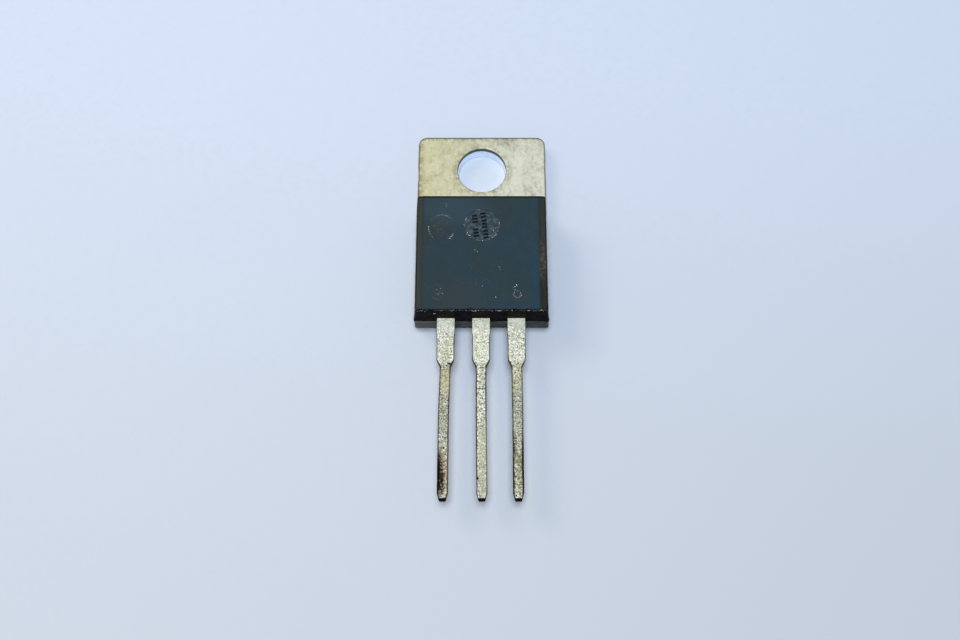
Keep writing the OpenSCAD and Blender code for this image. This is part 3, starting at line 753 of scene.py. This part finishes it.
def stampedLeadTree():
    # a path of stations, each with its middle, its two directions and its two half sizes,
    # becomes a bar with rounded corners and pitted plating
    g, given = newGroup("stampedLead", "Lead", (
        ("Path", "Geometry", None), ("Corner Radius", "Float", 0.06), ("Pit Depth", "Float", 0.01),
        ("Pit Size", "Float", 0.2), ("Smooth Above", "Float", -12.9),
        ("Pitted Below", "Float", -14.2), ("Seed", "Int", 1), ("Plating", "Material", None)))

    def stored(name, kind="FLOAT_VECTOR"):
        return g.add("GeometryNodeInputNamedAttribute", {"data_type": kind}, {"Name": name})

    spine = g.add("GeometryNodeMeshToCurve", None, {"Mesh": given.part("Path")})
    # the section is a 2 x 2 square whose points crowd towards its corners
    square = g.add("GeometryNodeCurvePrimitiveQuadrilateral", None, {"Width": 2.0, "Height": 2.0})
    square = g.add("GeometryNodeResampleCurve", None, {"Curve": square, "Count": 64})
    x, y, z = g.cut(g.add("GeometryNodeInputPosition"))
    crowd = g.xyz((x * (pi / 2)).sine(), (y * (pi / 2)).sine(), 0.0)
    square = g.add("GeometryNodeSetPosition", None, {"Geometry": square, "Position": crowd})
    square = g.add("GeometryNodeStoreNamedAttribute",
                   {"data_type": "FLOAT_VECTOR", "domain": "POINT"},
                   {"Geometry": square, "Name": "section",
                    "Value": g.add("GeometryNodeInputPosition")})
    bar = g.add("GeometryNodeCurveToMesh", None,
                {"Curve": spine, "Profile Curve": square, "Fill Caps": True})
    # the corners keep one radius, however wide the bar is
    sectionX, sectionY, _ = g.cut(stored("section"))
    halfW, halfT = stored("halfW", "FLOAT"), stored("halfT", "FLOAT")
    radius = given.part("Corner Radius")
    cornerX, cornerY = sectionX * halfW, sectionY * halfT
    innerX = cornerX.least(halfW - radius).most(radius - halfW)
    innerY = cornerY.least(halfT - radius).most(radius - halfT)
    awayX, awayY, _ = g.cut(g.vector("NORMALIZE", g.xyz(cornerX - innerX, cornerY - innerY, 0.0)))
    place = g.vector("ADD", stored("middle"), g.scaled(stored("across"), innerX + awayX * radius))
    place = g.vector("ADD", place, g.scaled(stored("upward"), innerY + awayY * radius))
    bar = g.add("GeometryNodeSetPosition", None, {"Geometry": bar, "Position": place})
    # pitted plating, only where the lead is out of the moulding
    at = g.add("GeometryNodeInputPosition")
    outside = g.add("ShaderNodeMapRange", {"interpolation_type": "SMOOTHSTEP"},
                    {"Value": g.cut(at)[1], "From Min": given.part("Smooth Above"),
                     "From Max": given.part("Pitted Below")})
    shifted = g.vector("ADD", at, g.xyz(given.part("Seed") * 7.31, 0.0, 0.0))
    pits = g.add("ShaderNodeTexNoise", None,
                 {"Vector": shifted, "Scale": 1.0 / given.part("Pit Size"), "Detail": 3.0,
                  "Roughness": 0.6})
    dents = g.add("ShaderNodeTexVoronoi", {"feature": "SMOOTH_F1"},
                  {"Vector": shifted, "Scale": 0.45 / given.part("Pit Size"), "Smoothness": 0.4})
    sunk = (pits.ramp(0.45, 0.7) + dents.ramp(0.3, 0.1) * 0.8) * given.part("Pit Depth") * outside
    inward = g.scaled(g.add("GeometryNodeInputNormal"), sunk * -1.0)
    bar = g.add("GeometryNodeSetPosition", None, {"Geometry": bar, "Offset": inward})
    return closeGroup(g, bar, given.part("Plating"))


def grow(name, tree, carrier, inputs):
    # runs a node tree over a carrier mesh and returns the result as a plain mesh
    holder = placed(name + "Carrier", carrier)
    modifier = holder.modifiers.new("grow", "NODES")
    modifier.node_group = tree
    sockets = {s.name: s.identifier for s in tree.interface.items_tree if s.in_out == "INPUT"}
    for key, value in inputs.items():
        modifier[sockets[key]] = value
    bpy.context.view_layer.update()
    result = holder.evaluated_get(bpy.context.evaluated_depsgraph_get())
    mesh = bpy.data.meshes.new_from_object(result)
    holder.modifiers.remove(modifier)
    bpy.data.objects.remove(holder)
    for spare in stationVectors + stationSizes:
        if spare in mesh.attributes:
            mesh.attributes.remove(mesh.attributes[spare])
    return mesh


def stationMesh(name, stations):
    # stations: (middle, across, upward, half width, half thickness)
    mesh = bpy.data.meshes.new(name)
    mesh.from_pydata([s[0] for s in stations], [(i, i + 1) for i in range(len(stations) - 1)], [])
    for column, key in enumerate(stationVectors):
        layer = mesh.attributes.new(key, "FLOAT_VECTOR", "POINT")
        layer.data.foreach_set("vector", [c for s in stations for c in s[column]])
    for column, key in enumerate(stationSizes, 3):
        layer = mesh.attributes.new(key, "FLOAT", "POINT")
        layer.data.foreach_set("value", [s[column] for s in stations])
    return mesh


lead = {
    "pitch": 2.54, "offset": -0.07, "z": 2.65, "t": 0.5, "exitY": -12.8, "length": 13.03,
    "broadW": 1.26, "stubW": 0.03, "stubL": 1.15, "broadL": 3.05, "taperL": 0.52, "slimW": 0.76,
    "tipL": 0.55, "tipW": 0.46, "tipT": 0.42, "midL": 7.0, "nip": 0.03, "step": 0.06,
    "midSet": (-0.09, 0.0, 0.02), "tipSet": (-0.1, 0.05, 0.01),
    "wander": 0.008, "cornerR": 0.065, "pitDepth": 0.014, "pitSize": 0.16,
}
post = {"innerX": 1.45, "outerX": 4.075, "y": -12.05, "l": 1.7, "chamfer": 0.35,
        "lockY": -12.425, "lockR": 0.16, "lockX": 0.66}
crank = {"bendY": -10.2, "w": 1.6, "padT": 1.3, "r": 0.4, "angle": 60}


def between(table, at):
    # straight-line lookup in a table of (place, value)
    if at <= table[0][0]:
        return table[0][1]
    for (a, low), (b, high) in zip(table, table[1:]):
        if at <= b:
            return low + (high - low) * (at - a) / (b - a) if b > a else high
    return table[-1][1]


def outerStations(side, fromL):
    # the lead, from fromL past its exit to its tip
    s = lead
    centre = side * s["pitch"] + s["offset"]
    mid, tip = s["midSet"][side + 1], s["tipSet"][side + 1]
    slimL, tipL, nipL = s["broadL"] + s["taperL"], s["length"] - s["tipL"], s["length"] - s["nip"]
    shift = [(0, 0), (slimL, 0), (s["midL"], mid), (tipL, tip), (s["length"], tip)]
    dam, broad, slim = s["broadW"] / 2 + s["stubW"], s["broadW"] / 2, s["slimW"] / 2
    width = [(0, dam), (s["stubL"] - 0.02, dam), (s["stubL"] + 0.02, broad), (s["broadL"], broad),
             (slimL, slim), (tipL, slim), (nipL, s["tipW"] / 2),
             (s["length"], s["tipW"] / 2 - 0.03)]
    thick = [(tipL, s["t"] / 2), (nipL, s["tipT"] / 2), (s["length"], s["tipT"] / 2 - 0.03)]
    count = round((s["length"] - fromL) / s["step"])
    places = evenly(fromL, s["length"], count)
    places += [s["stubL"] - 0.02, s["stubL"] + 0.02, s["broadL"], slimL, tipL, nipL]
    out = []
    for l in sorted(set(round(p, 4) for p in places)):
        wander = s["wander"] * noise.noise(Vector((l * 0.9, side * 7.0, 3.0)))
        wander *= min(1, max(0, l / 2))
        out.append(((centre + between(shift, l) + wander, s["exitY"] - l, s["z"]),
                    (1, 0, 0), (0, 0, 1), between(width, l), between(thick, l)))
    return out


def postStations(side):
    # the bond post and its neck with two lock notches, inside the moulding
    p = post
    mid = side * (p["innerX"] + p["outerX"]) / 2
    half = (p["outerX"] - p["innerX"]) / 2
    rows = [(p["y"] + p["l"], half - p["chamfer"]), (p["y"] + p["l"] - p["chamfer"], half),
            (p["y"] + p["chamfer"], half), (p["y"] + 0.01, half - p["chamfer"] + 0.01)]
    out = [((mid, y, lead["z"]), (1, 0, 0), (0, 0, 1), w, lead["t"] / 2) for y, w in rows]
    centre = side * lead["pitch"] + lead["offset"]
    for k in range(13):
        y = p["y"] - 0.02 - k * 0.058
        notch = max(0.0, p["lockR"] ** 2 - (y - p["lockY"]) ** 2) ** 0.5
        out.append(((centre, y, lead["z"]), (1, 0, 0), (0, 0, 1), p["lockX"] - notch,
                    lead["t"] / 2))
    return out


def crankStations():
    # from inside the pad, up through two bends, to the leads' plane
    c, half = crank, lead["t"] / 2
    turn = radians(c["angle"])
    r = c["r"] + half
    lowZ, highZ = c["padT"] - half, lead["z"]
    run = 2 * r * sin(turn) + (highZ - lowZ - 2 * r * (1 - cos(turn))) / tan(turn)
    turns = [turn * k / 10 for k in range(11)]
    path = [(-0.3, lowZ, 0.0)]
    path += [(r * sin(a), lowZ + r * (1 - cos(a)), a) for a in turns]
    path += [(run - r * sin(a), highZ - r * (1 - cos(a)), a) for a in turns[::-1]]
    endRun = c["bendY"] - lead["exitY"] - 0.25
    path += [(along, highZ, 0.0) for along in evenly(run, endRun, 8)[1:]]
    return [((lead["offset"], c["bendY"] - along, z), (1, 0, 0), (0, sin(a), cos(a)),
             c["w"] / 2, half) for along, z, a in path]


leadTree = stampedLeadTree()
leadInputs = {"Corner Radius": lead["cornerR"], "Pit Depth": lead["pitDepth"],
              "Pit Size": lead["pitSize"], "Plating": leadMaterial}


def makeSideLead(name, side, seed):
    stations = postStations(side) + outerStations(side, 0.0)
    mesh = grow(name, leadTree, stationMesh(name, stations), {**leadInputs, "Seed": seed})
    return finishMesh(name, mesh, [leadMaterial])


gateLead = makeSideLead("gateLead", -1, 1)
sourceLead = makeSideLead("sourceLead", 1, 3)
print("leads grown")


# drilled tab with the drain lead

plate = {
    "w": 9.9, "endY": 2.875, "t": 1.3, "cornerR": 0.68, "shoulderY": -3.805, "padW": 7.95,
    "padEndY": -9.9, "ledgeW": 0.3, "ledgeT": 0.5, "ledgeTopY": -4.95, "holeR": 1.875,
    "roll": 0.09, "burr": 0.03, "holeRoll": 0.07, "gridStep": 0.2, "dish": 0.006,
    "grooves": (-4.3, -4.8), "grooveDepth": 0.14, "torn": 0.015,
    # side, from y, to y, depth
    "nicks": [(-1, -1.1, 0.25, 0.07), (1, -0.5, 0.95, 0.05), (-1, 1.5, 2.0, 0.03)],
}


def plateLoop(ledge):
    # anticlockwise from the pad's lower right corner
    p = plate
    pad = p["padW"] / 2
    x, low = (pad + p["ledgeW"], p["padEndY"] - p["ledgeW"]) if ledge else (pad, p["padEndY"])
    half = p["w"] / 2
    right = [(x, low, 0.14), (x, p["ledgeTopY"], 0.0), (pad, p["ledgeTopY"], 0.0),
             (pad, p["shoulderY"], 0.0), (half, p["shoulderY"], 0.14),
             (half, p["endY"], p["cornerR"])]
    left = [(-a, b, c) for a, b, c in right[::-1]]
    return outline(right + left, [40, 3, 10, 8, 60, 90, 60, 8, 10, 3, 40, 60])


def nicked(p):
    x, y, z = p
    half = plate["w"] / 2
    for side, low, high, depth in plate["nicks"]:
        if low < y < high and side * x > half - 0.3:
            share = sin(pi * (y - low) / (high - low))
            rough = 0.55 + 0.6 * ripple(0, y, z, 5.5, 4.2)
            x -= side * depth * share * rough * (side * x - half + 0.3) / 0.3
    return x, y, z


def fillBetween(loop, holeLoop, z, step, heightAt, lines=(), reach=0.0):
    # triangles of a flat face with a round hole, over a grid of inner points; lines are the
    # heights of folds across it
    points = [Vector(p) for p in loop] + [Vector(p) for p in holeLoop]
    outerN, holeN = len(loop), len(holeLoop)
    edges = [(i, (i + 1) % outerN) for i in range(outerN)]
    edges += [(outerN + i, outerN + (i + 1) % holeN) for i in range(holeN)]

    def inside(x, y):
        hit = False
        for a, b in zip(loop, loop[1:] + loop[:1]):
            if (a.y > y) != (b.y > y) and x < (b.x - a.x) * (y - a.y) / (b.y - a.y) + a.x:
                hit = not hit
        return hit

    holeR = max(p.length for p in holeLoop)
    low, high = min(p.y for p in loop), max(p.y for p in loop)
    wide = max(p.x for p in loop)
    for j in range(int((high - low) / step)):
        for i in range(int(2 * wide / step)):
            x = -wide + (i + 0.5 + 0.25 * (j % 2)) * step
            y = low + (j + 0.5) * step
            near = ((x - 0.1, y), (x + 0.1, y), (x, y + 0.1), (x, y - 0.1))
            if hypot(x, y) > holeR + 0.1 and all(abs(y - line) > 0.03 for line in lines) \
                    and all(inside(*p) for p in near):
                points.append(Vector((x, y)))
    for line in lines:
        first, count = len(points), 40
        points += [Vector((-reach + 2 * reach * k / count, line)) for k in range(count + 1)]
        edges += [(first + k, first + k + 1) for k in range(count)]
    verts, _, tris, given = geometry.delaunay_2d_cdt(points, edges, [], 0, 1e-6)[:4]
    border = outerN + holeN                           # the border keeps to the walls it meets
    kept = []
    for tri in tris:
        mid = sum((verts[i] for i in tri), Vector((0, 0))) / len(tri)
        if mid.length > holeR * 0.9995 and inside(mid.x, mid.y):
            kept.append(tuple(tri))
    return [(v.x, v.y, z if min(old, default=border) < border else z + heightAt(v.x, v.y))
            for v, old in zip(verts, given)], kept


def makeTab():
    p = plate
    topZ, ledgeZ = p["t"], p["t"] - p["ledgeT"]
    low, high = plateLoop(False), plateLoop(True)
    # a sheared burr at the bottom, and rolled over at the top where the punch went in
    rings = [flat(shrunk(low, inset), rise) for inset, rise in quarter(p["burr"], 3)]
    rings += [flat(low, z) for z in (0.2, 0.35, 0.5, 0.65, ledgeZ - 0.001)]
    rings += [flat(high, z) for z in (ledgeZ, 0.95, 1.08)]
    rings += [flat(shrunk(high, inset), topZ - drop) for drop, inset in quarter(p["roll"], 5)]
    topLoop = [Vector(q[:2]) for q in rings[-1]]
    bottomLoop = [Vector(q[:2]) for q in rings[0]]
    points = [q for ring in rings for q in ring]
    faces = bridge(rings)

    spokes = [Vector((cos(a), sin(a))) for a in (2 * pi * k / 144 for k in range(144))]
    holeR = p["holeR"]
    hole = [(holeR + inset, rise) for inset, rise in quarter(p["burr"], 3)]
    hole += [(holeR, z) for z in (0.3, 0.5, 0.7, 0.9, 1.1)]
    hole += [(holeR + inset, topZ - drop) for drop, inset in quarter(p["holeRoll"], 5)]
    wall = []
    for radius, z in hole:
        torn = p["torn"] if 0.05 < z < 0.6 else 0.0   # the sheet tears low in a punched wall
        wall.append([(*(s * (radius + torn * abs(ripple(s.x * 2, s.y * 2, z, 2.5, 2.2)))), z)
                     for s in spokes])
    first = len(points)
    points += [q for ring in wall for q in ring]
    faces += bridge(wall, first)

    grooveEdges = [line + side * p["grooveDepth"] for line in p["grooves"] for side in (-1, 1)]

    def topHeight(x, y):
        if any(abs(y - line) < 1e-4 for line in p["grooves"]):
            return -p["grooveDepth"]
        if y < p["shoulderY"]:
            return 0.0
        fade = 1.0
        for away in (hypot(x, y) - holeR - 0.08, p["w"] / 2 - 0.1 - abs(x), p["endY"] - 0.1 - y):
            fade *= min(1.0, max(0.0, away * 4))
        return p["dish"] * (ripple(x, y, 0, 0.8, 6.1) - 0.5) * fade

    reach = p["padW"] / 2 - p["roll"] - 0.03
    for loop, ring, z, heightAt, step, lines in (
            (topLoop, wall[-1], topZ, topHeight, p["gridStep"], list(p["grooves"]) + grooveEdges),
            (bottomLoop, wall[0], 0.0, lambda x, y: 0.0, 0.6, ())):
        holeLoop = [Vector(q[:2]) for q in ring]
        verts, tris = fillBetween(loop, holeLoop, z, step, heightAt, lines, reach)
        first = len(points)
        points += verts
        faces += [tuple(first + i for i in tri) for tri in tris]
    points = [nicked(q) for q in points]
    tab = meshObject("tabAndDrainLead", points, faces, [tabMaterial, leadMaterial])

    bm = bmesh.new()
    for name, stations in (("crankStrip", crankStations()),
                           ("drainStrip", outerStations(0, -0.24))):
        strip = grow(name, leadTree, stationMesh(name, stations), {**leadInputs, "Seed": 2})
        part = bmesh.new()
        part.from_mesh(strip)
        bmesh.ops.recalc_face_normals(part, faces=part.faces)
        for f in part.faces:
            f.material_index = 1
        part.to_mesh(strip)
        part.free()
        bm.from_mesh(strip)
    bm.from_mesh(tab.data)
    bm.to_mesh(tab.data)
    bm.free()
    tab.data.shade_smooth()
    tab.data.set_sharp_from_angle(angle=sharpAbove)
    return tab


tabAndDrainLead = makeTab()
print("tab made")


# tally bars in the ejector mark

tally = {"barL": 0.4, "barW": 0.15, "barH": 0.05, "pitch": 0.25, "sunk": 0.006,
         # x and y of the first bar, how many bars, lean in degrees
         "columns": [(-0.5, -5.88, 3, 8), (-0.4, -6.98, 3, 6), (0.3, -7.1, 3, 9),
                     (0.18, -6.28, 3, 4), (0.1, -5.46, 2, 12)]}


def tallyTree():
    # one column of equal bars, a little out of true
    g, given = newGroup("tallyColumn", "Bars", (
        ("Carrier", "Geometry", None), ("Count", "Int", 5), ("Pitch", "Float", 0.1),
        ("Bar Length", "Float", 0.1), ("Bar Width", "Float", 0.1), ("Bar Height", "Float", 0.1),
        ("Lean", "Float", 0.1), ("Start", "Vector", None), ("Moulding", "Material", None)))
    rows = g.add("GeometryNodeMeshLine", {"mode": "OFFSET"},
                 {"Count": given.part("Count"), "Start Location": (0, 0, 0),
                  "Offset": g.xyz(0.0, given.part("Pitch"), 0.0)})
    size = g.xyz(given.part("Bar Length"), given.part("Bar Width"), given.part("Bar Height"))
    bar = g.add("GeometryNodeMeshCube", None,
                {"Size": size, "Vertices X": 6, "Vertices Y": 3, "Vertices Z": 3})
    bar = g.add("GeometryNodeSubdivisionSurface", None, {"Mesh": bar, "Level": 1})
    askew = g.add("FunctionNodeRandomValue", {"data_type": "FLOAT"},
                  {2: -0.12, 3: 0.12, "Seed": 4}, 1)
    rows = g.add("GeometryNodeInstanceOnPoints", None,
                 {"Points": rows, "Instance": bar, "Rotation": g.xyz(0.0, 0.0, askew)})
    rows = g.add("GeometryNodeTransform", None,
                 {"Geometry": rows, "Translation": given.part("Start"),
                  "Rotation": g.xyz(0.0, 0.0, given.part("Lean"))})
    return closeGroup(g, rows, given.part("Moulding"))


def joined(name, meshes, materials):
    bm = bmesh.new()
    for mesh in meshes:
        bm.from_mesh(mesh)
    whole = bpy.data.meshes.new(name)
    bm.to_mesh(whole)
    bm.free()
    return finishMesh(name, whole, materials)


def makeTallies():
    tree = tallyTree()
    columns = []
    floorZ = body["t"] - body["pinDepth"] + tally["sunk"]
    for x, y, count, lean in tally["columns"]:
        columns.append(grow("tally", tree, bpy.data.meshes.new("tallyCarrier"), {
            "Count": count, "Pitch": tally["pitch"], "Bar Length": tally["barL"],
            "Bar Width": tally["barW"], "Bar Height": tally["barH"], "Lean": radians(lean),
            "Start": (x, y, floorZ), "Moulding": barMaterial}))
    return joined("ejectorMarkTallies", columns, [barMaterial])


ejectorMarkTallies = makeTallies()
print("tally bars made")


# chips and flakes of pale filler, also standing for glints as painted highlights

flakes = {
    # x, y, radius, from and to in degrees, how many: arcs of flakes on the front face
    "arcs": [(0, -6.13, 1.26, -160, -20, 26), (0, -6.13, 1.27, 150, 185, 8),
             (0, -6.13, 1.26, -15, 20, 10), (0, -6.13, 1.24, 95, 140, 5),
             (0.7, -6.8, 0.25, 0, 360, 9), (-2.9, -6.35, 1.0, 50, 130, 7),
             (-2.9, -6.35, 1.0, 170, 230, 5), (-2.9, -6.35, 0.95, -60, -20, 6),
             (2.5, -11.5, 0.26, 0, 360, 9)],
    # x, y, radius, how many: clusters of flakes on the front face
    "spots": [(2.51, -10.82, 0.07, 5), (2.3, -11.05, 0.12, 4), (-2.33, -7.2, 0.06, 3),
              (-3.1, -11.3, 0.35, 6), (1.26, -9.45, 0.12, 3), (-0.4, -8.25, 0.2, 2),
              (-2.6, -4.5, 0.12, 3), (0.95, -11.75, 0.1, 2), (-0.2, -10.9, 0.4, 2)],
    # x, z, radius, how many: chips on the lead end
    "chips": [(-3.38, 3.72, 0.08, 4), (-4.3, 4.15, 0.3, 6), (-2.2, 4.25, 0.3, 4),
              (4.0, 4.25, 0.5, 8), (1.2, 4.2, 0.5, 5), (-0.6, 4.2, 0.3, 3), (-4.5, 2.9, 0.15, 3)],
    "edgeStep": 0.11, "edgeRise": 1.88, "edgeMargin": 0.4, "sunk": 0.008,
    # density, size, spread and seed of the three scatters
    "faceFlakes": (0.8, 0.03, 0.04, 5), "endChips": (0.8, 0.032, 0.02, 9),
    "edgeChips": (0.4, 0.03, 0.04, 14),
}


def flakeTree():
    # scatters irregular flakes over the points of a guide
    g, given = newGroup("resinFlakes", "Flakes", (
        ("Guide", "Geometry", None), ("Density", "Float", 0.5), ("Flake Size", "Float", 0.03),
        ("Spread", "Float", 0.02), ("Seed", "Int", 1), ("Filler", "Material", None)))
    seed = given.part("Seed")

    def chance(low, high, step):
        # a draw for each point, one value or a vector of three
        kind, first = ("FLOAT_VECTOR", 0) if isinstance(low, tuple) else ("FLOAT", 2)
        return g.add("FunctionNodeRandomValue", {"data_type": kind},
                     {first: low, first + 1: high, "Seed": seed + float(step)}, first // 2)

    spread = g.scaled(chance((-1, -1, -0.15), (1, 1, 0.15), 0), given.part("Spread"))
    points = g.add("GeometryNodeSetPosition", None,
                   {"Geometry": given.part("Guide"), "Offset": spread})
    kept = chance(0.0, 1.0, 1).maths("LESS_THAN", chance(0.0, 1.0, 1), given.part("Density"))
    size = g.scaled(chance((0.5, 0.4, 0.25), (1.5, 1.0, 0.5), 2), given.part("Flake Size"))
    flake = g.add("GeometryNodeMeshIcoSphere", None, {"Radius": 1.0, "Subdivisions": 2})
    lump = g.add("ShaderNodeTexNoise", None, {"Scale": 1.3}, "Fac")
    uneven = g.scaled(g.add("GeometryNodeInputNormal"), lump - 0.5)
    flake = g.add("GeometryNodeSetPosition", None, {"Geometry": flake, "Offset": uneven})
    made = g.add("GeometryNodeInstanceOnPoints", None,
                 {"Points": points, "Selection": kept, "Instance": flake, "Scale": size,
                  "Rotation": chance((-0.4, -0.4, -3), (0.4, 0.4, 3), 3)})
    return closeGroup(g, made, given.part("Filler"))


def clustered(radius, count):
    # distance and angle of points that fill a disc, each a golden angle further round
    return [(radius * ((k + 0.5) / count) ** 0.5, k * 2.4) for k in range(count)]


def makeFlakes():
    tree = flakeTree()
    b, f = body, flakes
    top = b["t"] - f["sunk"]
    face, end = [], []
    for x, y, radius, low, high, count in f["arcs"]:
        for k in range(count):
            a = radians(low + (high - low) * (k + 0.5) / count)
            face.append((x + radius * cos(a), y + radius * sin(a), top))
    for x, y, radius, count in f["spots"]:
        face += [(x + r * cos(a), y + r * sin(a), top) for r, a in clustered(radius, count)]
    lean = tan(radians(b["frontDraft"]))
    for x, z, radius, count in f["chips"]:
        for r, a in clustered(radius, count):
            up = min(z + 0.4 * r * sin(a), b["t"] - 0.1)
            end.append((x + r * cos(a), b["endY"] + (up - b["partingZ"]) * lean, up))
    margin, rise = f["edgeMargin"], f["edgeRise"]
    count = int((b["right"] - b["left"] - 2 * margin) / f["edgeStep"]) + 1
    edge = [(b["left"] + margin + k * f["edgeStep"], b["endY"] + rise * lean, b["partingZ"] + rise)
            for k in range(count)]
    made = []
    for name, guide in (("faceFlakes", face), ("endChips", end), ("edgeChips", edge)):
        density, size, spread, seed = f[name]
        points = bpy.data.meshes.new(name)
        points.from_pydata(guide, [], [])
        made.append(grow(name, tree, points, {
            "Density": density, "Flake Size": size, "Spread": spread, "Seed": seed,
            "Filler": flakeMaterial}))
    return joined("resinFlakes", made, [flakeMaterial])


resinFlakes = makeFlakes()
print("flakes scattered")


# pieces take their places

pieceDone(mouldedBody, "moulding", "epoxy_body")
pieceDone(ejectorMarkTallies, "moulding")
pieceDone(resinFlakes, "moulding")
pieceDone(tabAndDrainLead, "plated_copper", "tab_and_drain_lead")
pieceDone(gateLead, "plated_copper", "gate_lead")
pieceDone(sourceLead, "plated_copper", "source_lead")
for node, material in (("silicon_die", siliconMaterial), ("die_solder", solderMaterial),
                       ("gate_wire", wireMaterial), ("source_wire_inner", wireMaterial),
                       ("source_wire_outer", wireMaterial)):
    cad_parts[node].material_slots[0].material = material
print("pieces placed")


# paper, light and camera

paper = {"half": 400, "z": -0.008, "middle": (-45, 45), "depth": (18, -36),
         "farLeft": (219, 232, 250), "farRight": (213, 227, 246),
         "nearLeft": (213, 222, 233), "nearRight": (202, 211, 222)}


def makePaper():
    half = paper["half"]
    mesh = bpy.data.meshes.new("paper")
    mesh.from_pydata([Vector((x * half, y * half, paper["z"])) * mm
                      for x, y in ((-1, -1), (1, -1), (1, 1), (-1, 1))], [], [(0, 1, 2, 3)])
    f = Finish("paperSheet", paper, Roughness=0.9, Specular_IOR_Level=0.1)
    # painted light and shade: the paper is lighter far off and to the left, darker near and to the
    # right
    right = f.x.ramp(*paper["middle"])
    far = f.mix(right, "farLeft", "farRight")
    near = f.mix(right, "nearLeft", "nearRight")
    fibre = f.cloud(1.4, 4, 0.6).ramp(0.35, 0.85)
    f.set("Base Color", f.coats(far, (f.y.ramp(*paper["depth"]), near),
                                (fibre * 0.15, "nearRight")))
    mesh.materials.append(f.material)
    sheet = placed("paper", mesh)



light = {"aim": (0, -10, 0), "world": 0.2, "worldTone": (0.95, 1.0, 1.1),
         "seen": screen(226, 234, 246),
         # place, size, power, colour
         "lamps": {"overhead": ((-5, -40, 320), 90, 0.71, (0.9, 0.94, 1.0)),
                   "window": ((-190, 110, 260), 150, 0.27, (1.0, 0.8, 0.6))}}


def makeLight():
    aim = Vector(light["aim"])
    for name, (place, size, power, tone) in light["lamps"].items():
        lamp = bpy.data.lights.new(name, "AREA")
        lamp.shape, lamp.size = "SQUARE", size * mm
        lamp.energy, lamp.color = power, tone
        box = placed(name, lamp)
        box.location = Vector(place) * mm
        box.rotation_euler = (aim - Vector(place)).to_track_quat("-Z", "Y").to_euler()
    world = bpy.data.worlds.new("studio")
    world.use_nodes = True
    bpy.context.scene.world = world
    w = Board(world.node_tree)
    out = next(n for n in w.tree.nodes if n.type == "OUTPUT_WORLD")
    rays = w.add("ShaderNodeLightPath", None, (), "Is Camera Ray")
    seen = rays.most(rays.part("Is Glossy Ray")).most(rays.part("Is Transmission Ray"))
    lit = w.add("ShaderNodeBackground", None,
                {"Color": light["worldTone"], "Strength": light["world"]})
    shown = w.add("ShaderNodeBackground", None, {"Color": light["seen"], "Strength": 1.0})
    w.feed(out.inputs["Surface"], w.add("ShaderNodeMixShader", None, {0: seen, 1: lit, 2: shown}))


view = {"place": (-0.148, -35.897, 69.311), "tilt": 19.108, "lens": 36.656, "sensor": 36}


def makeCamera():
    eye = bpy.data.cameras.new("camera")
    eye.lens = view["lens"]
    eye.sensor_width = view["sensor"]
    eye.clip_start = mm
    camera = placed("camera", eye)
    camera.location = Vector(view["place"]) * mm
    camera.rotation_euler = (radians(view["tilt"]), 0, 0)
    bpy.context.scene.camera = camera


makePaper()
makeLight()
makeCamera()
bpy.context.scene.view_settings.view_transform = "Standard"
print("scene lit")
